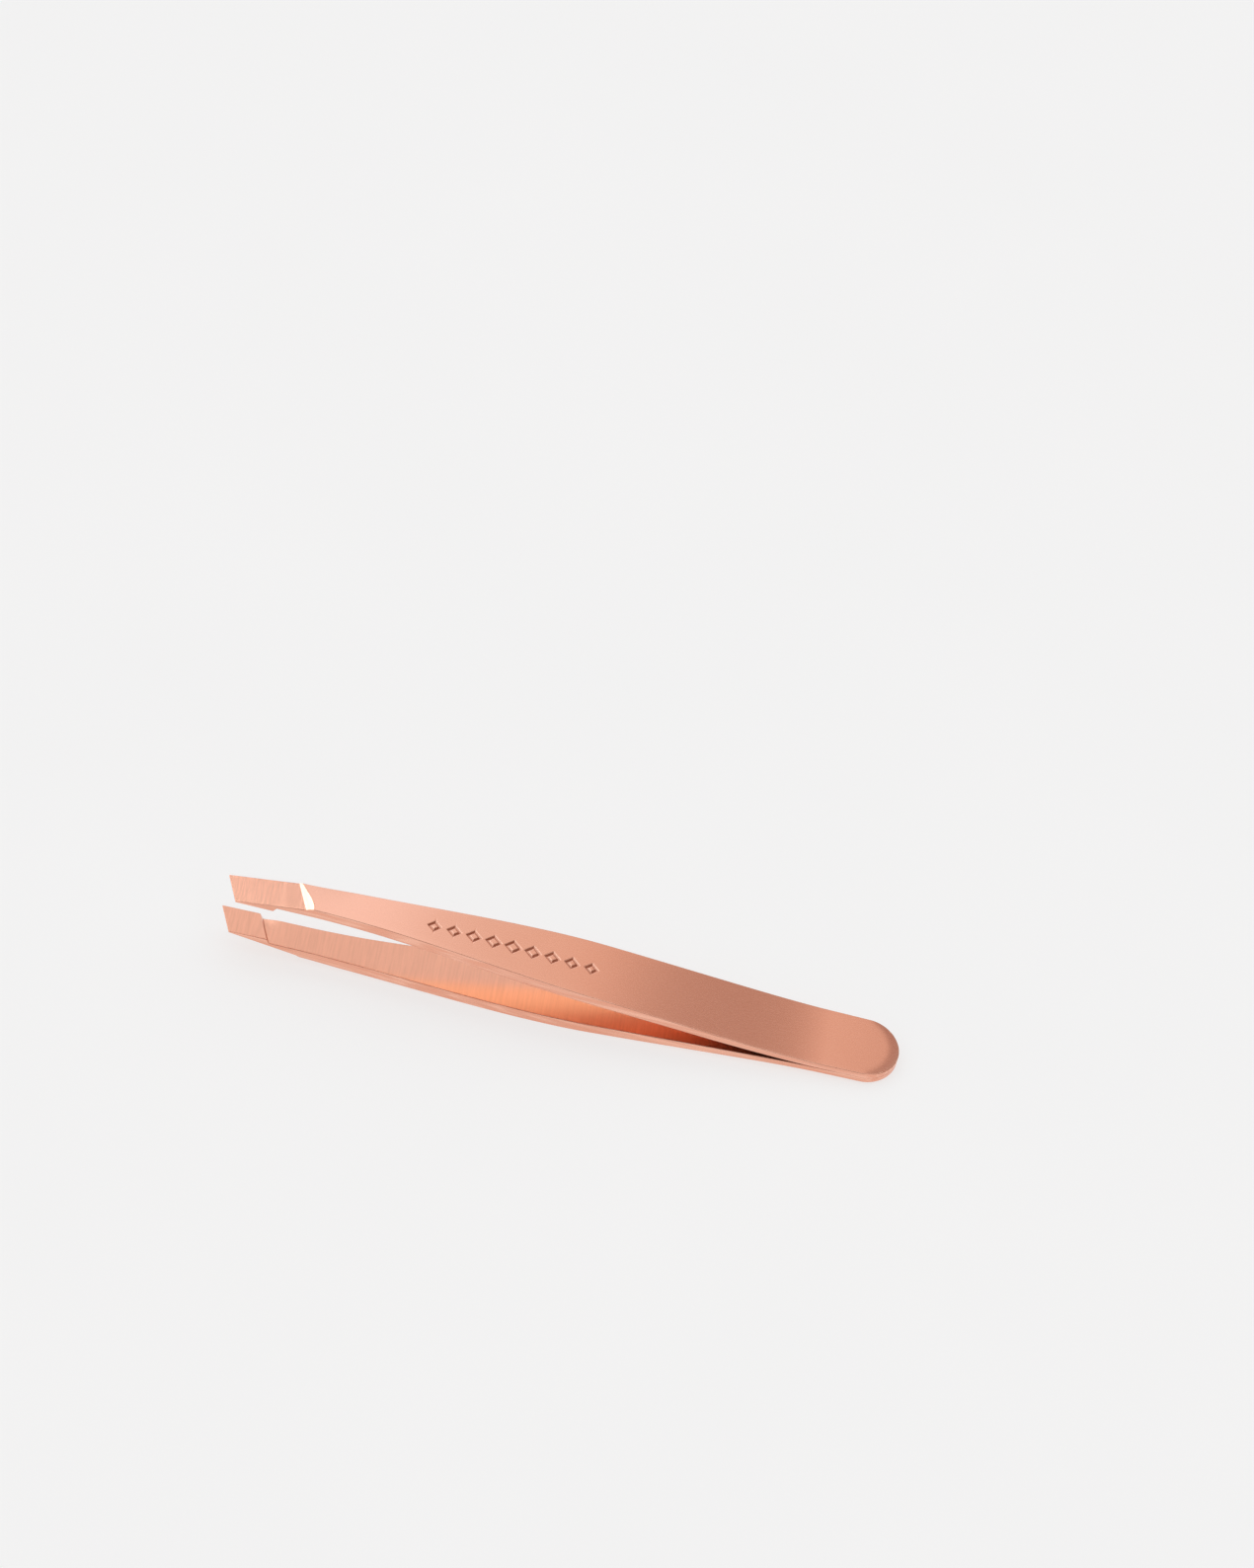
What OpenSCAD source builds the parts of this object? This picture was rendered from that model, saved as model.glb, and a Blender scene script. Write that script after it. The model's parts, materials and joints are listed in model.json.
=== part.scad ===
// Slant tweezers: two bowed spring arms, laid back to back at the heel and spot-welded together.
//
// Frame: millimetres. The origin is the point where the tips meet when they are squeezed together.
// +X runs back to the heel, Y goes across the arms, and +Z is the way the upper arm opens.
// The arms are mirror images of each other in the plane z = 0. All parts are drawn at rest, open.
//
// On the real tweezers each arm is one strip that bends. Here it is cut at the place that the
// front of the strip seems to turn about, so that a hinge there can stand in for the bending.

/* [Overall] */
// Length from the foremost point of the tips to the end of the heel
overall_l = 70; // [65:1:80]
// Opening between the gripping pads at the tips, at rest
tip_gap = 4.4; // [3.5:0.1:4.8]

/* [Arm outline] */
// Width of the tips
tip_w = 3.4; // [2.8:0.1:4]
// Extra width that the arm gains between the tips and the finger grip
flare_w = 3.75; // [3:0.1:4.5]
// Extra width that the arm gains evenly from the tips to the heel
taper_w = 0.95; // [0:0.05:1.5]
// Where the flare starts, measured from the tips
flare_start_x = 8.4; // [6:0.1:12]
// Where the flare ends, measured from the tips
flare_end_x = 39; // [32:0.5:44]
// Width that the arm loses again towards the end of the heel
heel_narrow_w = 0.7; // [0:0.05:1.2]
// Length over which it loses that width
heel_narrow_l = 20.3; // [15:0.1:25]
// Length of the rounded end of the heel
heel_round_l = 3.4; // [2:0.1:3.8]

/* [Arm curve] */
// Length over which the two arms lie against each other at the heel
joined_l = 7.3; // [6:0.1:9]
// Where the inner face of the arm is furthest from the middle plane
crest_x = 12; // [11:0.5:15]
// Height of the inner face above the middle plane at that point
crest_h = 2.55; // [2.5:0.05:3]
// Reach of the bend that leads out of the joined length
root_handle = 10; // [6:0.5:14]
// Reach of the bend that leads into the crest
crest_handle = 20; // [14:0.5:22]

/* [Sheet thickness] */
// Thickness of the front of the arm
front_t = 1.15; // [0.9:0.05:1.3]
// Thickness of the heel, where the strip is thinned so that it flexes
heel_t = 0.66; // [0.5:0.02:0.8]
// Where the thinning starts, measured from the tips
thin_start_x = 34; // [30:1:40]

/* [Tips] */
// Angle between the tip edge and a square cut
slant = 20; // [15:1:25]
// Thickness of the tip edge
edge_t = 0.12; // [0.08:0.01:0.2]
// Length of the flat ground on the outside of the tip
flat_l = 7.1; // [6:0.1:8]
// Rise of the flat over its length
flat_rise = 1.05; // [0.9:0.01:1.1]
// Angle of the short shoulder behind the flat
shoulder_angle = 21; // [15:1:40]
// Length of the gripping pad on the inside of the tip
pad_l = 3.9; // [3:0.05:5]
// Angle left between the pads when the tip edges first touch
pad_relief = 1.5; // [0.5:0.1:2]

/* [Marking] */
// Number of lozenges stamped in a row on the upper arm
lozenge_count = 9; // [3:2:11]
// Distance from one lozenge to the next
lozenge_pitch = 2.05; // [1.8:0.05:2.2]
// Height and length of the middle lozenge
lozenge_size = 1.75; // [1.2:0.05:2]
// Middle of the row, measured from the tips
marking_x = 29.5; // [27:0.5:32]
// Depth of the stamping
marking_depth = 0.12; // [0.05:0.01:0.2]

/* [Hidden] */
$fn = 48;

// The bend starts where the arms part
root_x = overall_l - joined_l;
// Where finger and thumb press
finger_x = 35;
// Where the arm starts to narrow towards the end of the heel
narrow_start_x = overall_l - heel_narrow_l;
// A strip pressed there turns about a point one third of the way from the bend to the finger
hinge_x = root_x - (root_x - finger_x) / 3;
// The hinge lies on the inner face, so that the cut only opens as the arms close
hinge_z = inner_z(hinge_x);
// Width of the cut between the heel part and the front part of each strip
cut_w = 0.04;
// Space left between the two tip edges when the arms are fully closed
closed_gap = 0.02;
// Turn of each arm that closes the tips
close_angle = asin((tip_gap - closed_gap) / 2 / hinge_x);
// Rear face of the gripping pad: its run along the arm for a given rise
pad_rear_run = 0.3;
pad_rear_rise = 0.5;
// Height of the block that the pad is cut from, which ends inside the arm
pad_block_h = 1.2;
// Spare length in front of the tips, cut off with the slant
tip_spare = 1;
// Length over which the shoulder's plane is carried on, until it is clear of the arm
shoulder_reach = 4;
// Widest extent of anything drawn, used for cutters
big = 40;
// Number of steps along the arm curves and along the outline
curve_steps = 28;
outline_steps = 24;
round_steps = 10;
// Spot welds: diameter, thickness and the distance between their centres
weld_d = 1.6;
weld_h = 0.3;
weld_pitch = 2.8;
weld_x = overall_l - joined_l / 2;
// Width of the stamped line of a lozenge, and how much each lozenge is smaller than its inner neighbour
lozenge_line = 0.3;
lozenge_step = 0.05;

metal = [0.87, 0.60, 0.50];
weld_metal = [0.72, 0.50, 0.42];

// Eases from 0 to 1 as t goes from 0 to 1
function ease(t) = let (c = min(max(t, 0), 1)) c * c * (3 - 2 * c);

// Half the width of the arm at x, with the rounded end as half an ellipse
function flare_part(x) = ease((x - flare_start_x) / (flare_end_x - flare_start_x));
function narrow_part(x) = max(0, (x - narrow_start_x) / heel_narrow_l);
function round_part(x) = max(0, (x - overall_l + heel_round_l) / heel_round_l);
function full_w(x) = tip_w + flare_w * flare_part(x) + taper_w * x / root_x
    - heel_narrow_w * pow(narrow_part(x), 2);
function half_w(x) = full_w(x) / 2 * sqrt(max(0, 1 - pow(round_part(x), 2)));

// Sheet thickness at x
function sheet_t(x) = front_t + (heel_t - front_t) * ease((x - thin_start_x) / (root_x - thin_start_x));

// Inner face of the upper arm, as a cubic curve from the root (s = 0) to the crest (s = 1)
function cubic(a, b, c, d, s) = a * pow(1 - s, 3) + 3 * b * s * pow(1 - s, 2) + 3 * c * s * s * (1 - s)
    + d * pow(s, 3);
function curve_x(s) = cubic(root_x, root_x - root_handle, crest_x + crest_handle, crest_x, s);
function curve_z(s) = cubic(0, 0, crest_h, crest_h, s);
// The same face as a height above x, by halving the range of s until it fits
function curve_s(x, low = 0, high = 1, left = 24) = left == 0 ? (low + high) / 2
    : let (mid = (low + high) / 2) curve_x(mid) > x ? curve_s(x, mid, high, left - 1)
    : curve_s(x, low, mid, left - 1);
function inner_z(x) = x >= root_x ? 0 : x <= crest_x ? crest_h : curve_z(curve_s(x));
function outer_z(x) = inner_z(x) + sheet_t(x);

// Outline of an arm seen from above, with the tip cut at the slant
module arm_outline() {
    back_x = overall_l - heel_round_l;
    side_xs = [for (i = [0 : outline_steps]) back_x * i / outline_steps];
    round_xs = [for (i = [1 : round_steps]) back_x + heel_round_l * sin(90 * i / round_steps)];
    edge = [for (x = concat(side_xs, round_xs)) [x, half_w(x)]];
    mirrored = [for (i = [len(edge) - 2 : -1 : 0]) [edge[i][0], -edge[i][1]]];
    difference() {
        polygon(concat(edge, mirrored));
        translate([0, tip_w / 2]) rotate(slant) translate([-big, -big]) square([big, 2 * big]);
    }
}

// Side view of the upper arm between two x positions, pushed out across its width
module arm_strip(x0, x1) {
    xs = [for (i = [0 : curve_steps]) x0 + (x1 - x0) * i / curve_steps];
    inner = [for (x = xs) [x, inner_z(x)]];
    outer = [for (i = [curve_steps : -1 : 0]) [xs[i], outer_z(xs[i])]];
    rotate([90, 0, 0]) linear_extrude(big, center = true) polygon(concat(inner, outer));
}

// Turns a part of the upper arm from closed to open
module opened() {
    translate([hinge_x, 0, hinge_z])
        rotate([0, close_angle, 0])
            translate([-hinge_x, 0, -hinge_z]) children();
}

// Puts the origin at the outer corner of the tip edge, with Y along the edge
module at_tip_edge() {
    translate([0, tip_w / 2, 0]) rotate(slant) children();
}

// Raised gripping pad inside the tip, standing proud of the arm's inner face, with a sloping rear face
module gripping_pad() {
    front = -tip_spare;
    rear = pad_l * cos(slant);
    foot = rear + pad_rear_run;
    opened() at_tip_edge() translate([0, 0, closed_gap / 2]) rotate([0, -pad_relief, 0])
        rotate([90, 0, 0]) linear_extrude(big, center = true)
            polygon([
                [front, 0],
                [rear, 0],
                [foot, pad_rear_rise],
                [foot, pad_block_h],
                [front, pad_block_h]
            ]);
}

// Everything that grinding removes from the outside of the tip: the long flat and the shoulder behind it
module ground_away() {
    depth = flat_l * cos(slant);
    low = tip_gap / 2 + edge_t;
    high = low + flat_rise;
    top = high + shoulder_reach * tan(shoulder_angle);
    at_tip_edge() rotate([90, 0, 0]) linear_extrude(big, center = true)
        polygon([
            [-tip_spare, low - tip_spare * flat_rise / depth],
            [depth, high],
            [depth + shoulder_reach, top],
            [-tip_spare, top]
        ]);
}

// One stamped lozenge outline
module lozenge(size) {
    difference() {
        circle(d = size, $fn = 4);
        circle(d = size - 2 * lozenge_line, $fn = 4);
    }
}

// Row of lozenges that grow smaller towards both ends
module lozenge_row() {
    last = (lozenge_count - 1) / 2;
    for (i = [-last : last])
        translate([marking_x + i * lozenge_pitch, 0]) lozenge(lozenge_size * (1 - lozenge_step * abs(i)));
}

// The stamping follows the outer face, so it has the same depth along the whole row
module stamped_marking() {
    half_l = lozenge_count * lozenge_pitch / 2;
    xs = [for (i = [0 : curve_steps]) marking_x - half_l + 2 * half_l * i / curve_steps];
    floor_line = [for (x = xs) [x, outer_z(x) - marking_depth]];
    intersection() {
        linear_extrude(big) lozenge_row();
        rotate([90, 0, 0]) linear_extrude(big, center = true)
            polygon(concat(floor_line, [[marking_x + half_l, big / 2], [marking_x - half_l, big / 2]]));
    }
}

// Front part of the upper strip, from the tip to the cut
module front_strip() {
    difference() {
        intersection() {
            linear_extrude(big, center = true) arm_outline();
            union() {
                arm_strip(-tip_spare, hinge_x - cut_w / 2);
                gripping_pad();
            }
        }
        ground_away();
    }
}

// Heel part of the upper strip, from the cut to the rounded end, with pockets that the weld metal fills
module heel_strip() {
    difference() {
        intersection() {
            linear_extrude(big, center = true) arm_outline();
            union() {
                arm_strip(hinge_x + cut_w / 2, root_x);
                translate([root_x, -big / 2, 0]) cube([joined_l, big, heel_t]);
            }
        }
        weld_spots(weld_h);
    }
}

// The two spots where the arms are welded together, centred on the plane between them
module weld_spots(h) {
    for (side = [-1, 1])
        translate([weld_x, side * weld_pitch / 2, 0]) cylinder(d = weld_d, h = h, center = true);
}

module upper_arm() {
    color(metal) difference() {
        front_strip();
        stamped_marking();
    }
}

module lower_arm() {
    color(metal) mirror([0, 0, 1]) front_strip();
}

module upper_heel() {
    color(metal) heel_strip();
}

module lower_heel() {
    color(metal) mirror([0, 0, 1]) heel_strip();
}

module heel_welds() {
    color(weld_metal) weld_spots(weld_h);
}

upper_heel();
lower_heel();
heel_welds();
upper_arm();
lower_arm();
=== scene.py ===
"""Looks of the slant tweezers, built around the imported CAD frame.

Each real arm is one spring strip from tip to heel, so each arm is one mesh here. It replaces the two
CAD nodes that the strip is cut into, and bends between their bodies. Shapes are worked out in
millimetres in the frame of the CAD: x runs from the tips to the heel, y goes across the arms, and z is
the way the upper arm opens.
"""

import json
import math

import bpy
import numpy as np
from mathutils import Matrix, Vector


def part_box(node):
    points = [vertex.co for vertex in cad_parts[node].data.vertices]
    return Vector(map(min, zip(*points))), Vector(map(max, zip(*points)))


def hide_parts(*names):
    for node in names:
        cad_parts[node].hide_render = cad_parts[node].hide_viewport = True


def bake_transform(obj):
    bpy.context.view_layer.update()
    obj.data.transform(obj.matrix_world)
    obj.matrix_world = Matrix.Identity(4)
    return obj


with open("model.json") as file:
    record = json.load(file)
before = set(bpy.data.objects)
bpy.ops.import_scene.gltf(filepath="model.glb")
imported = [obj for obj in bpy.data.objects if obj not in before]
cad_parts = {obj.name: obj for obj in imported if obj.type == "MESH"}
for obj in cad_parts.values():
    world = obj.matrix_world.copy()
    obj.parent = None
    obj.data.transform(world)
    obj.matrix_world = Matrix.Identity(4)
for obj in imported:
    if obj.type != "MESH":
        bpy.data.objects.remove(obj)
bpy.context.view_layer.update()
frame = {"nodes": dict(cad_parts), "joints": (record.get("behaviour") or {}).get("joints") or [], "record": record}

MM = 0.001

# --------------------------------------------------------------------------------------------------
# Sizes that the frame states
# --------------------------------------------------------------------------------------------------
hinge = next(j for j in frame["joints"] if j["name"] == "upper_arm_flex")
heel_face = next(m for m in frame["record"]["mounts"] if m["name"] == "heel_top_face")
HINGE_X = hinge["pos_m"][0] / MM
CLOSE_ANGLE = math.radians(max(hinge["range_deg"]))
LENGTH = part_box("upper_heel")[1].x / MM
HEEL_T = heel_face["pos_m"][2] / MM

# --------------------------------------------------------------------------------------------------
# Sizes of the arms, as in the CAD
# --------------------------------------------------------------------------------------------------
TIP_GAP = 4.4
TIP_W = 3.4
FLARE_W = 3.75
TAPER_W = 0.95
FLARE_START_X = 8.4
FLARE_END_X = 39.0
HEEL_NARROW_W = 0.7
HEEL_NARROW_L = 20.3
HEEL_ROUND_L = 3.4
JOINED_L = 7.3
CREST_X = 12.0
CREST_H = 2.55
ROOT_HANDLE = 10.0
CREST_HANDLE = 20.0
FRONT_T = 1.15
THIN_START_X = 34.0
SLANT = math.radians(20)
EDGE_T = 0.12
FLAT_L = 7.1
FLAT_RISE = 1.05
SHOULDER_ANGLE = math.radians(21)
PAD_L = 3.9
PAD_RELIEF = math.radians(1.5)
PAD_REAR_RUN = 0.3
PAD_REAR_RISE = 0.5
CLOSED_GAP = 0.02

ROOT_X = LENGTH - JOINED_L
NARROW_START_X = LENGTH - HEEL_NARROW_L
ROUND_X = LENGTH - HEEL_ROUND_L

# Stamped row of lozenges
LOZENGES = 9
LOZENGE_PITCH = 2.05
LOZENGE_SIZE = 1.75
LOZENGE_STEP = 0.05
LOZENGE_LINE = 0.3
MARKING_X = 29.5

# --------------------------------------------------------------------------------------------------
# Finishing that the CAD leaves out
# --------------------------------------------------------------------------------------------------
# Stamped grooves, with rounded sides
MARKING_DEPTH = 0.16
GROOVE_HALF_W = 0.19

# Rounded edges, finer at the thin tip and along the seam between the joined heels
EDGE_ROUND = 0.09
TIP_ROUND_SHARE = 0.3
TIP_ROUND_L = 6.0
SEAM_ROUND = 0.03
SEAM_FADE_L = 2.0
ROUND_LIMIT = 0.45

# Outer face: slight crown, softly worn edges, and a heel end that rolls over
CROWN = 0.02
SOFT_EDGE = 0.6
SOFT_DROP = 0.025
END_SOFT = 1.3
END_DROP = 0.07

# The far side behind the tip is polished down, and so is the lower arm's near edge
POLISHED_X = 7.5
POLISHED_FADE_L = 6.0
FAR_DROP = 0.17
FAR_START = -0.6
FAR_SPAN = 1.6
NEAR_DROP = 0.17
NEAR_START = 0.4
NEAR_SPAN = 0.6

# Inner face: hollow behind the pad
HOLLOW = 0.25
HOLLOW_L = 2.2

# Length over which the ground tip passes into the brushed face
GROUND_FADE_L = 0.6

# --------------------------------------------------------------------------------------------------
# Layout of the mesh grids
# --------------------------------------------------------------------------------------------------
BESIDE_EDGE = 0.06
PAD_STEP_L = 0.5
SHOULDER_L = 2.6
MARKING_REACH = 10.0
PLAIN_STEP = 0.5
MARKING_STEP = 0.05
BAND_SHARE = 0.3
BAND_LINES = 12
MARKING_LINES = 40
SIDE_LINES = 11
SLANTED_X = 11.0
SLANT_FADE_L = 10.0
TIP_INSET_L = 3.0
END_ROWS = 16
EDGE_STEPS = 4
LOOP_PART = 64
SHARP_ANGLE = math.radians(24)


def ease(t):
    """Eases from 0 to 1 as t goes from 0 to 1."""
    c = np.clip(t, 0, 1)
    return c * c * (3 - 2 * c)


def arm_width(x):
    """Full width of the arm at x, without the rounded end."""
    flare = FLARE_W * ease((x - FLARE_START_X) / (FLARE_END_X - FLARE_START_X))
    narrow = HEEL_NARROW_W * (np.maximum(0, x - NARROW_START_X) / HEEL_NARROW_L) ** 2
    return TIP_W + flare + TAPER_W * x / ROOT_X - narrow


def sheet_t(x):
    """Thickness of the strip at x."""
    return FRONT_T + (HEEL_T - FRONT_T) * ease((x - THIN_START_X) / (ROOT_X - THIN_START_X))


def bezier(a, b, c, d, s):
    """Point at s on the cubic curve from a to d, with the handles b and c."""
    return a * (1 - s) ** 3 + 3 * b * s * (1 - s) ** 2 + 3 * c * s * s * (1 - s) + d * s**3


CURVE_S = np.linspace(1, 0, 400)
CURVE_X = bezier(ROOT_X, ROOT_X - ROOT_HANDLE, CREST_X + CREST_HANDLE, CREST_X, CURVE_S)
CURVE_Z = bezier(0, 0, CREST_H, CREST_H, CURVE_S)


def arm_inner_z(x):
    """Height of the arm's inner face above the middle plane."""
    return np.interp(x, CURVE_X, CURVE_Z)


def slant_shift(y):
    """How far back the slanted tip edge lies at y."""
    return (TIP_W / 2 - y) * math.tan(SLANT)


def behind_edge(x, y):
    """Distance behind the tip edge, square to that edge."""
    return (x - slant_shift(y)) * math.cos(SLANT)


def inner_z(x, y):
    """Inner face with the gripping pad, which stands closer to the middle plane than the arm does."""
    d = behind_edge(x, y)
    depth = PAD_L * math.cos(SLANT)
    opening = (HINGE_X - x) * math.sin(CLOSE_ANGLE)
    pad = CLOSED_GAP / 2 + d * math.tan(PAD_RELIEF) + opening
    rear = pad + np.maximum(0, d - depth) * PAD_REAR_RISE / PAD_REAR_RUN
    hollow = HOLLOW * ease(2 * y / TIP_W) * (1 - ease((d - depth) / HOLLOW_L))
    return np.minimum(arm_inner_z(x) + hollow, rear)


def lozenge_depth(x, y):
    """Depth of the stamped lozenge outlines."""
    depth = np.zeros_like(x)
    last = (LOZENGES - 1) // 2
    for i in range(-last, last + 1):
        size = LOZENGE_SIZE * (1 - LOZENGE_STEP * abs(i))
        off = np.abs(x - MARKING_X - i * LOZENGE_PITCH) + np.abs(y) - size / 2 + LOZENGE_LINE / 2
        to_line = np.abs(off) / math.sqrt(2)
        depth = np.maximum(depth, MARKING_DEPTH * ease(1 - to_line / GROOVE_HALF_W))
    return depth


def edge_drop(to_edge, reach, drop):
    """How far the face falls near its edge: the full drop at the edge, and none beyond the reach."""
    return drop * np.clip(1 - to_edge / reach, 0, 1) ** 2


def outer_z(x, y, to_edge, upper):
    """Outer face: the bowed strip with a slight crown, cut back by the tip's flat and its shoulder."""
    across = np.clip(2 * y / arm_width(x), -1, 1)
    soft = edge_drop(to_edge, SOFT_EDGE, SOFT_DROP)
    rolled = edge_drop(to_edge, END_SOFT, END_DROP) * ease((x - ROUND_X) / HEEL_ROUND_L)
    polished = FAR_DROP * ease((across - FAR_START) / FAR_SPAN)
    if not upper:
        polished = polished + NEAR_DROP * ease((-across - NEAR_START) / NEAR_SPAN)
    polished = polished * (1 - ease((x - POLISHED_X) / POLISHED_FADE_L))
    strip = arm_inner_z(x) + sheet_t(x) - CROWN * across**2 - soft - rolled - polished
    if upper:
        strip = strip - lozenge_depth(x, y)
    d = behind_edge(x, y)
    depth = FLAT_L * math.cos(SLANT)
    low = TIP_GAP / 2 + EDGE_T
    flat = low + FLAT_RISE * d / depth
    shoulder = low + FLAT_RISE + (d - depth) * math.tan(SHOULDER_ANGLE)
    return np.minimum(strip, np.maximum(flat, shoulder))


def ground_share(x, y):
    """1 on the tip's flat, which is ground crosswise, falling to 0 on its shoulder."""
    return 1 - ease((behind_edge(x, y) - FLAT_L * math.cos(SLANT)) / GROUND_FADE_L)


def edge_round(x):
    """Radius of the edge rounding, smaller where the tip gets thin."""
    return EDGE_ROUND * (TIP_ROUND_SHARE + (1 - TIP_ROUND_SHARE) * ease(x / TIP_ROUND_L))


# --------------------------------------------------------------------------------------------------
# Meshes
# --------------------------------------------------------------------------------------------------
def stations(marked):
    """Places along the arm, closer together where the shape changes quickly."""
    stretches = [
        (BESIDE_EDGE, BESIDE_EDGE),
        (PAD_L - BESIDE_EDGE, 0.33),
        (PAD_L + PAD_STEP_L, 0.04),
        (FLAT_L - BESIDE_EDGE, 0.25),
        (FLAT_L + BESIDE_EDGE, 0.03),
        (FLAT_L + SHOULDER_L, 0.08),
        (MARKING_X - MARKING_REACH, 0.4),
        (MARKING_X + MARKING_REACH, MARKING_STEP if marked else PLAIN_STEP),
        (ROUND_X, PLAIN_STEP),
    ]
    places = [0.0]
    start = 0.0
    for end, step in stretches:
        count = max(1, round((end - start) / step))
        places += [start + (end - start) * (k + 1) / count for k in range(count)]
        start = end
    return np.array(places)


def across_lines(marked):
    """Places across the arm from -1 to 1, closer together at the edges and under the marking."""
    count = MARKING_LINES if marked else BAND_LINES
    inside = np.linspace(-BAND_SHARE, BAND_SHARE, count + 1)
    turns = np.linspace(0, math.pi / 2, SIDE_LINES + 1)[1:]
    side = BAND_SHARE + (1 - BAND_SHARE) * np.sin(turns)
    return np.concatenate([-side[::-1], inside, side])


def plan_grid(marked):
    """Plan positions of a grid that fills the arm's outline, pulled in by the edge rounding."""
    s = stations(marked)
    v = across_lines(marked)
    grid_s, grid_v = np.meshgrid(s, v, indexing="ij")
    lean = 1 - ease((grid_s - SLANTED_X) / SLANT_FADE_L)
    half = arm_width(grid_s) / 2 - edge_round(grid_s)
    inset = edge_round(grid_s) * (1 - ease(grid_s / TIP_INSET_L))
    x = grid_s + lean * slant_shift(grid_v * half) + inset
    y = grid_v * (arm_width(x) / 2 - edge_round(x))
    # The rounded end: a half disc whose grid lines start out straight
    u = np.linspace(0, 1, END_ROWS + 1)[1:]
    grid_u, grid_w = np.meshgrid(u, v, indexing="ij")
    end_x = ROUND_X + (HEEL_ROUND_L - EDGE_ROUND) * grid_u * np.sqrt(1 - grid_w**2 / 2)
    end_y = grid_w * np.sqrt(1 - grid_u**2 / 2) * (arm_width(end_x) / 2 - EDGE_ROUND)
    return np.concatenate([x, end_x]), np.concatenate([y, end_y])


def boundary_loop(rows, columns):
    """Grid indices round the outline: tip edge, far side, rounded end, near side."""
    tip = [(0, j) for j in range(columns - 1)]
    far = [(i, columns - 1) for i in range(rows - 1)]
    end = [(rows - 1, j) for j in range(columns - 1, 0, -1)]
    near = [(i, 0) for i in range(rows - 1, 0, -1)]
    return tip + far + end + near


def outward(points):
    """Unit normals, pointing outwards, of a closed loop of plan points that runs clockwise."""
    along = np.roll(points, -1, axis=0) - np.roll(points, 1, axis=0)
    normal = np.stack([-along[:, 1], along[:, 0]], axis=1)
    return normal / np.linalg.norm(normal, axis=1)[:, None]


def distance_to_loop(x, y, loop):
    """Distance from each plan point to the nearest point of the loop, taking a part of it at a time."""
    flat = np.stack([x.ravel(), y.ravel()], axis=1)
    nearest = np.full(len(flat), np.inf)
    for start in range(0, len(loop), LOOP_PART):
        part = loop[start : start + LOOP_PART]
        gap = np.linalg.norm(flat[:, None, :] - part[None, :, :], axis=2)
        nearest = np.minimum(nearest, gap.min(axis=1))
    return nearest.reshape(x.shape)


def rim_rings(edge, top, bottom):
    """Distance outwards and height of each ring round the rim, from the outer edge to the inner one."""
    radius = np.minimum(edge_round(edge[:, 0]), ROUND_LIMIT * (top - bottom))
    joined = ease((edge[:, 0] - ROOT_X) / SEAM_FADE_L)
    seam = np.minimum(radius, EDGE_ROUND + (SEAM_ROUND - EDGE_ROUND) * joined)
    turns = [math.pi / 2 * k / EDGE_STEPS for k in range(1, EDGE_STEPS + 1)]
    rings = []
    for a in turns:
        rings.append((radius * math.sin(a), top - radius * (1 - math.cos(a))))
    rings.append((radius, (top + bottom) / 2))
    for a in reversed(turns):
        rings.append((radius - seam * (1 - math.sin(a)), bottom + seam * (1 - math.cos(a))))
    return rings


def grid_faces(ids):
    """Quads of a grid of point numbers, facing up."""
    corners = (ids[:-1, :-1], ids[1:, :-1], ids[1:, 1:], ids[:-1, 1:])
    return np.stack([corner.ravel() for corner in corners], axis=1)


def ring_faces(above, below):
    """Quads between two rings of point numbers, facing out."""
    return np.stack([above, np.roll(above, -1), np.roll(below, -1), below], axis=1)


def add_values(mesh, name, outer, inner, rim):
    """Stores one number per vertex for the materials: outer face first, then inner face, then rim."""
    count = np.size(outer)
    values = np.full(len(mesh.vertices), rim, dtype=np.float32)
    values[:count] = outer
    values[count : 2 * count] = inner
    mesh.attributes.new(name, "FLOAT", "POINT").data.foreach_set("value", values)


def build_arm(name, upper):
    """One whole strip. Only the upper one is stamped, and the lower one is turned over."""
    x, y = plan_grid(upper)
    loop = tuple(np.array(boundary_loop(*x.shape)).T)
    edge = np.stack([x[loop], y[loop]], axis=1)
    normal = outward(edge)
    top = outer_z(x, y, distance_to_loop(x, y, edge), upper)
    bottom = inner_z(x, y)

    outer_ids = np.arange(x.size).reshape(x.shape)
    inner_ids = outer_ids + x.size
    points = [np.column_stack([x.ravel(), y.ravel(), level.ravel()]) for level in (top, bottom)]
    ring_ids = [outer_ids[loop]]
    for out, height in rim_rings(edge, top[loop], bottom[loop]):
        ring_ids.append(np.arange(len(edge)) + sum(len(p) for p in points))
        points.append(np.column_stack([edge + normal * out[:, None], height]))
    ring_ids.append(inner_ids[loop])

    facing_down = [0, 3, 2, 1]
    faces = [grid_faces(outer_ids), grid_faces(inner_ids)[:, facing_down]]
    faces += [ring_faces(above, below) for above, below in zip(ring_ids, ring_ids[1:])]
    place = np.concatenate(points)
    corners = np.concatenate(faces)
    if not upper:
        place[:, 2] *= -1
        corners = corners[:, ::-1]

    mesh = bpy.data.meshes.new(name)
    mesh.from_pydata((place * MM).tolist(), [], corners.tolist())
    mesh.validate()
    plain = np.zeros(x.size)
    stamped = lozenge_depth(x, y).ravel() / MARKING_DEPTH if upper else plain
    add_values(mesh, "crosswise", ground_share(x, y).ravel(), 1, 0)
    add_values(mesh, "inside", plain, 1, 0)
    add_values(mesh, "rim", plain, 0, 1)
    add_values(mesh, "stamped", stamped, 0, 0)
    mesh.shade_smooth()
    mesh.set_sharp_from_angle(angle=SHARP_ANGLE)
    arm = bpy.data.objects.new(name, mesh)
    bpy.context.scene.collection.objects.link(arm)
    return arm


# --------------------------------------------------------------------------------------------------
# Materials
# --------------------------------------------------------------------------------------------------
def grey(level):
    return (level, level, level, 1)


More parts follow.
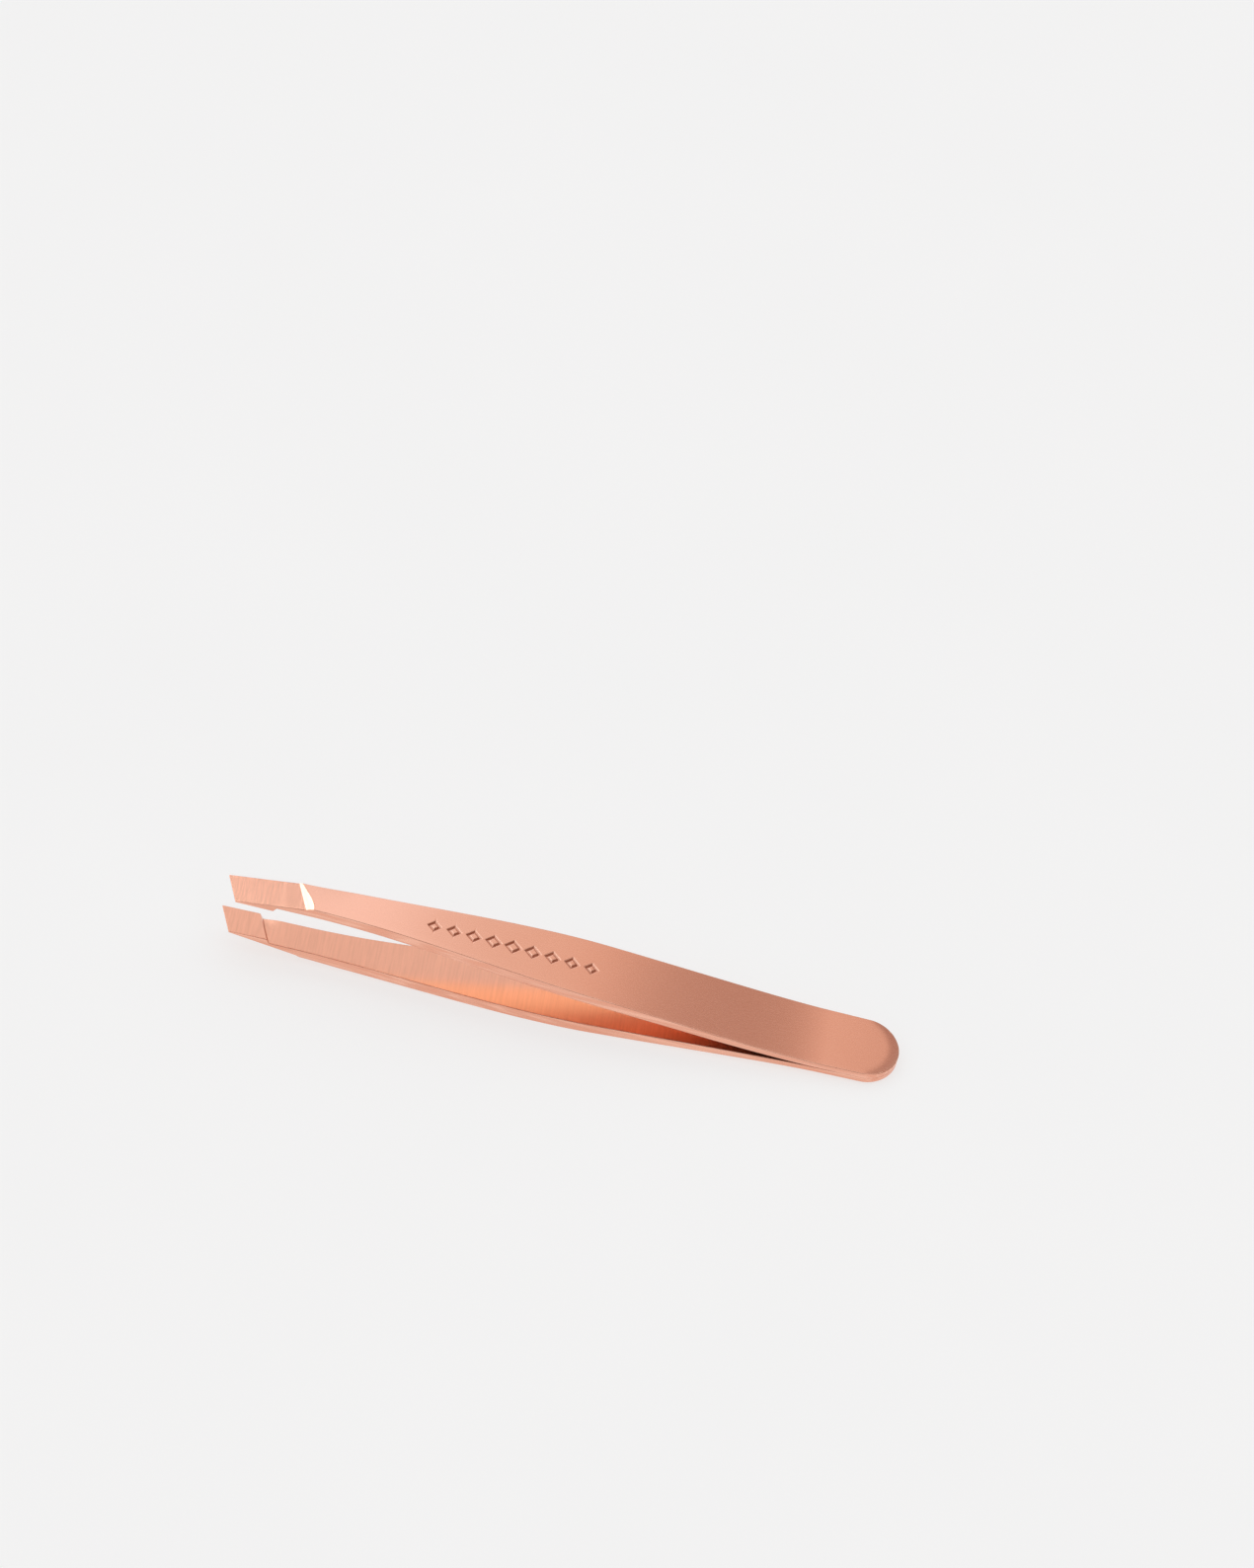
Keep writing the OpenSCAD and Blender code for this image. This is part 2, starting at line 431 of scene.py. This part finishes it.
# The middle range that most values of a noise lie in
NOISE_LOW = 0.35
NOISE_HIGH = 0.65


class Nodes:
    """Short way to add and join shader nodes."""

    def __init__(self, tree):
        self.tree = tree
        tree.nodes.clear()

    def add(self, kind, **settings):
        node = self.tree.nodes.new(kind)
        for key, value in settings.items():
            setattr(node, key, value)
        return node

    def join(self, source, target):
        self.tree.links.new(source, target)

    def put(self, value, socket):
        """Sets a socket to a number or colour, or joins another node's output to it."""
        if isinstance(value, (int, float, tuple)):
            socket.default_value = value
        else:
            self.join(value, socket)

    def attribute(self, name):
        return self.add("ShaderNodeAttribute", attribute_name=name).outputs["Fac"]

    def math(self, operation, a, b):
        node = self.add("ShaderNodeMath", operation=operation)
        self.put(a, node.inputs[0])
        self.put(b, node.inputs[1])
        return node.outputs[0]

    def mix(self, factor, a, b, kind="FLOAT"):
        node = self.add("ShaderNodeMix", data_type=kind)
        sockets = [s for s in node.inputs if s.enabled]
        for socket, value in zip(sockets, (factor, a, b)):
            self.put(value, socket)
        return next(s for s in node.outputs if s.enabled)

    def noise(self, vector, scale, detail, roughness):
        node = self.add("ShaderNodeTexNoise")
        node.inputs["Scale"].default_value = scale
        node.inputs["Detail"].default_value = detail
        node.inputs["Roughness"].default_value = roughness
        self.join(vector, node.inputs["Vector"])
        return node.outputs["Fac"]

    def ranged(self, value, start, end, low=0.0, high=1.0, kind="LINEAR"):
        """Turns the range from start to end into the range from low to high."""
        node = self.add("ShaderNodeMapRange", interpolation_type=kind)
        node.inputs["From Min"].default_value = start
        node.inputs["From Max"].default_value = end
        node.inputs["To Min"].default_value = low
        node.inputs["To Max"].default_value = high
        self.join(value, node.inputs["Value"])
        return node.outputs["Result"]

    def spread(self, value, low, high):
        """Turns the middle range of a noise into the range from low to high."""
        return self.ranged(value, NOISE_LOW, NOISE_HIGH, low, high)

    def stretched(self, vector, stretch, turn=0.0):
        node = self.add("ShaderNodeMapping")
        node.inputs["Rotation"].default_value = (0, 0, turn)
        node.inputs["Scale"].default_value = stretch
        self.join(vector, node.inputs["Vector"])
        return node.outputs["Vector"]

    def axis(self, vector, name):
        """One coordinate of a vector."""
        node = self.add("ShaderNodeSeparateXYZ")
        self.join(vector, node.inputs["Vector"])
        return node.outputs[name]

    def ramp(self, value, stops):
        """Colour that eases from stop to stop. Each stop is a place from 0 to 1 and a colour."""
        node = self.add("ShaderNodeValToRGB")
        node.color_ramp.interpolation = "EASE"
        elements = node.color_ramp.elements
        for k, (place, colour) in enumerate(stops):
            element = elements[k] if k < 2 else elements.new(place)
            element.position = place
            element.color = colour
        self.join(value, node.inputs["Fac"])
        return node.outputs["Color"]


def new_material(name):
    """An empty material, and the nodes to fill it with."""
    material = bpy.data.materials.new(name)
    material.use_nodes = True
    return material, Nodes(material.node_tree)


# Noise scales are per metre, and a line is a noise that is drawn out to 1 / its stretch
BRUSH_SCALE = 9000
GROUND_SCALE = 4200
LINE_STRETCH = 0.05
POLISH_SCALE = 3200
POLISH_STRETCH = 0.03
BLOTCH_SCALE = 260
GRAIN_SCALE = 16000

# Satin and bump of the brushed outer faces, the ground tip flats and the inner faces
GROUND_ROUGHNESS = 0.18
INNER_ROUGHNESS = 0.30
LINE_ROUGHNESS = 0.05
ANISOTROPY = 0.85
BRUSH_BUMP = 0.05
GROUND_BUMP = 0.14
BUMP_HEIGHT = 0.02 * MM

# Shares of the blotches in the colour, of the grain in the relief and of the painted shade in the stamped grooves
BLOTCH_SHARE = 0.45
GRAIN_SHARE = 0.15
GROOVE_SHADE_SHARE = 0.7

# Brightness range of the lines on ground faces and on the rim, and range of the rim's wear
GROUND_TONES = (0.94, 1.06)
RIM_TONES = (0.80, 1.06)
RIM_WEAR = (0.9, 0.3)


def brushed_metal(name, base, deep, inner, edge, roughness):
    """Satin plated steel, with fine lines along the arm, or across it where "crosswise" is 1."""
    material, n = new_material(name)
    place = n.add("ShaderNodeTexCoord").outputs["Object"]
    crosswise = n.attribute("crosswise")
    inside = n.attribute("inside")
    rim = n.attribute("rim")
    stamped = n.attribute("stamped")

    along = n.noise(n.stretched(place, (LINE_STRETCH, 1, 1)), BRUSH_SCALE, 4, 0.6)
    across = n.noise(n.stretched(place, (1, LINE_STRETCH, 1), SLANT), GROUND_SCALE, 4, 0.7)
    lines = n.mix(crosswise, along, across)
    blotch = n.noise(place, BLOTCH_SCALE, 3, 0.5)
    grain = n.noise(place, GRAIN_SCALE, 2, 0.6)
    polish = n.noise(n.stretched(place, (POLISH_STRETCH, 1, 1)), POLISH_SCALE, 2, 0.5)

    # Colour: blotches and lines, darker inner faces that are painted shade between the arms, streaky worn edges,
    # and painted shade in the stamped grooves
    tone = n.mix(BLOTCH_SHARE, lines, blotch)
    # The inner faces take the darker colour, which is painted shade between the arms
    colour = n.mix(inside, n.mix(tone, deep, base, "RGBA"), inner, "RGBA")
    ground = n.mix(crosswise, 1.0, n.spread(lines, *GROUND_TONES))
    streaks = n.mix(rim, ground, n.spread(polish, *RIM_TONES))
    streaked = n.add("ShaderNodeVectorMath", operation="SCALE")
    n.join(colour, streaked.inputs[0])
    n.join(streaks, streaked.inputs["Scale"])
    wear = n.math("MULTIPLY", rim, n.spread(polish, *RIM_WEAR))
    worn = n.mix(wear, streaked.outputs["Vector"], edge, "RGBA")
    # Painted shade: the stamped grooves are darkened towards a deep red, in place of the shade that falls in them
    worn = n.mix(n.math("MULTIPLY", stamped, GROOVE_SHADE_SHARE), worn, STAMPED_GROOVE_SHADE, "RGBA")

    # Satin, and fine relief of the lines and the grain
    satin = n.mix(inside, n.mix(crosswise, roughness, GROUND_ROUGHNESS), INNER_ROUGHNESS)
    uneven = n.math("MULTIPLY", n.math("SUBTRACT", lines, 0.5), LINE_ROUGHNESS)
    height = n.mix(GRAIN_SHARE, lines, grain)
    bump = n.add("ShaderNodeBump")
    bump.inputs["Distance"].default_value = BUMP_HEIGHT
    n.join(n.mix(crosswise, BRUSH_BUMP, GROUND_BUMP), bump.inputs["Strength"])
    n.join(height, bump.inputs["Height"])

    # Reflections spread across the lines
    tangent = n.add("ShaderNodeCombineXYZ")
    n.join(crosswise, tangent.inputs["X"])
    n.join(n.math("SUBTRACT", 1, crosswise), tangent.inputs["Y"])

    shader = n.add("ShaderNodeBsdfPrincipled")
    shader.inputs["Metallic"].default_value = 1.0
    shader.inputs["Anisotropic"].default_value = ANISOTROPY
    n.join(worn, shader.inputs["Base Color"])
    n.join(n.math("ADD", satin, uneven), shader.inputs["Roughness"])
    n.join(bump.outputs["Normal"], shader.inputs["Normal"])
    n.join(tangent.outputs["Vector"], shader.inputs["Tangent"])
    n.join(shader.outputs["BSDF"], n.add("ShaderNodeOutputMaterial").inputs["Surface"])
    return material


# The sheet's own tones and glow
TABLE_TONES = (grey(0.29), grey(0.31))
TABLE_NOISE_SCALE = 30
TABLE_GLOW = 0.664

# How much brighter and cooler its part behind the arms looks, and the width in which that starts
MIRRORED_GLOW = 0.70
MIRRORED_TINT = (0.98, 1.27, 1.20, 1)
MIRRORED_FADE = 8 * MM


def light_table():
    """Pale matt sheet lit from below, so that shadows on it stay soft. From below it is clear.

    The part behind the arms looks brighter where one arm shows it to the other, as a sweep that rises
    behind them would.
    """
    material, n = new_material("light_table")
    place = n.add("ShaderNodeTexCoord").outputs["Object"]
    sheet = n.add("ShaderNodeBsdfDiffuse")
    n.join(n.mix(n.noise(place, TABLE_NOISE_SCALE, 2, 0.5), *TABLE_TONES, "RGBA"), sheet.inputs["Color"])

    behind = n.ranged(n.axis(place, "Y"), 0.0, MIRRORED_FADE, kind="SMOOTHSTEP")
    twice = n.math("GREATER_THAN", n.add("ShaderNodeLightPath").outputs["Glossy Depth"], 1.5)
    mirrored = n.math("MULTIPLY", behind, twice)
    strength = n.math("ADD", n.math("MULTIPLY", mirrored, MIRRORED_GLOW), TABLE_GLOW)
    glow = n.add("ShaderNodeEmission")
    n.join(strength, glow.inputs["Strength"])
    n.join(n.mix(mirrored, grey(1.0), MIRRORED_TINT, "RGBA"), glow.inputs["Color"])

    lit = n.add("ShaderNodeAddShader")
    n.join(sheet.outputs["BSDF"], lit.inputs[0])
    n.join(glow.outputs["Emission"], lit.inputs[1])
    one_sided = n.add("ShaderNodeMixShader")
    n.join(n.add("ShaderNodeNewGeometry").outputs["Backfacing"], one_sided.inputs["Fac"])
    n.join(lit.outputs["Shader"], one_sided.inputs[1])
    n.join(n.add("ShaderNodeBsdfTransparent").outputs["BSDF"], one_sided.inputs[2])
    n.join(one_sided.outputs["Shader"], n.add("ShaderNodeOutputMaterial").inputs["Surface"])
    return material


def glowing_card(stops):
    """Light card whose colour changes along its own x, given as (share of its width, colour) pairs."""
    material, n = new_material("light_card")
    peak = max(max(colour) for _, colour in stops)
    shares = [(share, tuple(part / peak for part in colour) + (1,)) for share, colour in stops]
    glow = n.add("ShaderNodeEmission")
    glow.inputs["Strength"].default_value = peak
    along = n.axis(n.add("ShaderNodeTexCoord").outputs["Generated"], "X")
    n.join(n.ramp(along, shares), glow.inputs["Color"])
    n.join(glow.outputs["Emission"], n.add("ShaderNodeOutputMaterial").inputs["Surface"])
    return material


# --------------------------------------------------------------------------------------------------
# The tweezers
# --------------------------------------------------------------------------------------------------
PLATING = (1.0, 0.59, 0.45, 1)
PLATING_DEEP = (0.95, 0.53, 0.39, 1)
# Painted shade: the inner faces between the arms get a darker, redder colour
PLATING_INNER_SHADED = (0.84, 0.46, 0.33, 1)
PLATING_EDGE = (0.90, 0.41, 0.28, 1)
PLATING_ROUGHNESS = 0.27
# Painted shade in the stamped grooves, as a deep red colour
STAMPED_GROOVE_SHADE = (0.50, 0.18, 0.11, 1)
WELD = (0.70, 0.42, 0.33, 1)
WELD_DEEP = (0.55, 0.33, 0.26, 1)
WELD_ROUGHNESS = 0.45

rose_gold = brushed_metal(
    "rose_gold", PLATING, PLATING_DEEP, PLATING_INNER_SHADED, PLATING_EDGE, PLATING_ROUGHNESS
)
weld_metal = brushed_metal("weld_metal", WELD, WELD_DEEP, WELD_DEEP, WELD_DEEP, WELD_ROUGHNESS)

for arm_name, heel_name, side in (("upper_arm", "upper_heel", 1), ("lower_arm", "lower_heel", -1)):
    strip = build_arm(arm_name + "_strip", upper=side > 0)
    strip.data.materials.append(rose_gold)
    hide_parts(arm_name, heel_name)
    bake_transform(strip)

welds = frame["nodes"]["heel_welds"]
welds.data.materials.clear()
welds.data.materials.append(weld_metal)

# --------------------------------------------------------------------------------------------------
# Floor and light card
# --------------------------------------------------------------------------------------------------
FLOOR_SIDE = 4.0
FLOOR_CLEARANCE = 0.02 * MM
CARD_DISTANCE = 0.30
CARD_L = 0.8
CARD_H = 0.34
CARD_AWAY = Vector((0, 0.70, 0.72)).normalized()
CARD_RISE = Vector((0, -0.72, 0.70)).normalized()

# Colours of the light card: place along the tweezers' length in metres from its middle, and colour
CARD_COLOURS = [
    (-0.220, (0.70, 0.66, 0.64)),
    (-0.170, (3.2, 3.2, 3.2)),
    (-0.112, (3.2, 3.2, 3.2)),
    (-0.096, (0.54, 0.45, 0.42)),
    (-0.049, (0.72, 0.62, 0.58)),
    (-0.015, (0.97, 0.92, 0.92)),
    (0.024, (1.10, 1.04, 1.06)),
    (0.045, (0.84, 0.71, 0.66)),
    (0.070, (0.82, 0.65, 0.57)),
    (0.089, (0.87, 0.63, 0.535)),
    (0.106, (0.385, 0.25, 0.21)),
    (0.125, (0.44, 0.28, 0.24)),
    (0.250, (0.40, 0.36, 0.34)),
]


def resting_slope():
    """Tilt of the surface that touches the end of the heel and the belly of the lower arm."""
    x = np.linspace(CREST_X, ROOT_X, 200)
    depth = arm_inner_z(x) + sheet_t(x)
    return math.atan(((depth - HEEL_T) / (LENGTH - x)).max())


def turned(x_axis, y_axis, z_axis):
    """Rotation whose own axes lie along the given directions."""
    return Matrix((x_axis, y_axis, z_axis)).transposed().to_4x4()


def add_sheet(name, size_x, size_y, matrix, material):
    """Flat sheet of the studio, with its own x along its length."""
    mesh = bpy.data.meshes.new(name)
    corners = [(sx * size_x / 2, sy * size_y / 2, 0) for sx, sy in ((-1, -1), (1, -1), (1, 1), (-1, 1))]
    mesh.from_pydata(corners, [], [(0, 1, 2, 3)])
    mesh.materials.append(material)
    sheet = bpy.data.objects.new(name, mesh)
    bpy.context.scene.collection.objects.link(sheet)
    sheet.matrix_world = matrix
    return sheet


def add_floor():
    """The sheet that the tweezers lie on, tilted because the tweezers' frame is level instead."""
    heel_end = Matrix.Translation((LENGTH * MM, 0, -HEEL_T * MM - FLOOR_CLEARANCE))
    tilt = Matrix.Rotation(-resting_slope(), 4, "Y")
    add_sheet("floor", FLOOR_SIDE, FLOOR_SIDE, heel_end @ tilt, light_table())


def add_card():
    """The light card up behind the tweezers. Only reflections see it."""
    facing = turned(Vector((1, 0, 0)), CARD_RISE, -CARD_AWAY)
    matrix = Matrix.Translation(CARD_AWAY * CARD_DISTANCE) @ facing
    stops = [(0.5 + x / CARD_L, colour) for x, colour in CARD_COLOURS]
    card = add_sheet("back_card", CARD_L, CARD_H, matrix, glowing_card(stops))
    card.visible_diffuse = False
    card.visible_camera = False


add_floor()
add_card()

# --------------------------------------------------------------------------------------------------
# Sky and camera
# --------------------------------------------------------------------------------------------------
AZIMUTH = math.radians(-2.9)
ELEVATION = math.radians(45.8)
ROLL = math.radians(15.1)
CAMERA_DISTANCE = 0.8
LENS_MM = 181.8
SENSOR_MM = 36

# The picture's middle, as seen from the middle of the tweezers
MIDDLE_RIGHT = 6.67
MIDDLE_UP = 19.83

SKY_STRENGTH = 0.98
SKY_HEIGHTS = [(0.0, grey(0.30)), (0.22, grey(0.45)), (0.45, grey(1.0)), (1.0, grey(1.0))]
BACKDROP_COLOUR = grey(0.90)

# Patches of the sky: colour, direction, and the angles in degrees where each starts and ends to fade
FRONT_COLOUR = grey(0.90)
FRONT = Vector((0, -1.0, 0.15)).normalized()
FRONT_FADE = (20, 60)
CAMERA_SIDE_COLOUR = grey(0.25)
CAMERA_SIDE_FADE = (20, 30)
WARM_SIDE_COLOUR = (0.30, 0.15, 0.10, 1)
WARM_SIDE = Vector((0.9, -0.16, 0.42)).normalized()
WARM_SIDE_FADE = (20, 34)

right = Vector((math.cos(AZIMUTH), math.sin(AZIMUTH), 0))
level_back = Vector((math.sin(AZIMUTH), -math.cos(AZIMUTH), 0))
back = level_back * math.cos(ELEVATION) + Vector((0, 0, math.sin(ELEVATION)))
up = back.cross(right)


def cone_share(n, direction, axis, inner_angle, outer_angle):
    """1 in sky directions within the inner angle of the axis, fading to 0 at the outer angle."""
    toward = n.add("ShaderNodeVectorMath", operation="DOT_PRODUCT")
    n.join(direction, toward.inputs[0])
    toward.inputs[1].default_value = tuple(axis)
    start = math.cos(math.radians(outer_angle))
    end = math.cos(math.radians(inner_angle))
    return n.ranged(toward.outputs["Value"], start, end, kind="SMOOTHSTEP")


def add_sky():
    """Sky that is bright overhead and in front, dark round the camera and warm off the heel.

    The camera itself sees it as one pale backdrop.
    """
    world = bpy.data.worlds.new("studio")
    world.use_nodes = True
    bpy.context.scene.world = world
    n = Nodes(world.node_tree)
    direction = n.add("ShaderNodeTexCoord").outputs["Generated"]
    colour = n.ramp(n.axis(direction, "Z"), SKY_HEIGHTS)
    patches = (
        (FRONT_COLOUR, FRONT, FRONT_FADE),
        (CAMERA_SIDE_COLOUR, back, CAMERA_SIDE_FADE),
        (WARM_SIDE_COLOUR, WARM_SIDE, WARM_SIDE_FADE),
    )
    for patch_colour, axis, fade in patches:
        colour = n.mix(cone_share(n, direction, axis, *fade), colour, patch_colour, "RGBA")
    seen_directly = n.add("ShaderNodeLightPath").outputs["Is Camera Ray"]
    colour = n.mix(seen_directly, colour, BACKDROP_COLOUR, "RGBA")
    glow = n.add("ShaderNodeBackground")
    glow.inputs["Strength"].default_value = SKY_STRENGTH
    n.join(colour, glow.inputs["Color"])
    n.join(glow.outputs["Background"], n.add("ShaderNodeOutputWorld").inputs["Surface"])


def add_camera():
    """The camera, looking down on the near edges with the tips to the left."""
    rolled_right = right * math.cos(ROLL) + up * math.sin(ROLL)
    rolled_up = up * math.cos(ROLL) - right * math.sin(ROLL)
    tweezers_middle = Vector((LENGTH / 2 * MM, 0, 0))
    place = tweezers_middle + back * CAMERA_DISTANCE
    target = tweezers_middle + (rolled_right * MIDDLE_RIGHT + rolled_up * MIDDLE_UP) * MM
    look_back = (place - target).normalized()
    level = rolled_up.cross(look_back).normalized()

    lens = bpy.data.cameras.new("camera")
    lens.lens = LENS_MM
    lens.sensor_width = SENSOR_MM
    lens.clip_start = 0.01
    lens.clip_end = 10
    camera = bpy.data.objects.new("camera", lens)
    camera.matrix_world = Matrix.Translation(place) @ turned(level, look_back.cross(level), look_back)
    bpy.context.scene.collection.objects.link(camera)
    bpy.context.scene.camera = camera


add_sky()
add_camera()
bpy.context.scene.view_settings.view_transform = "Standard"
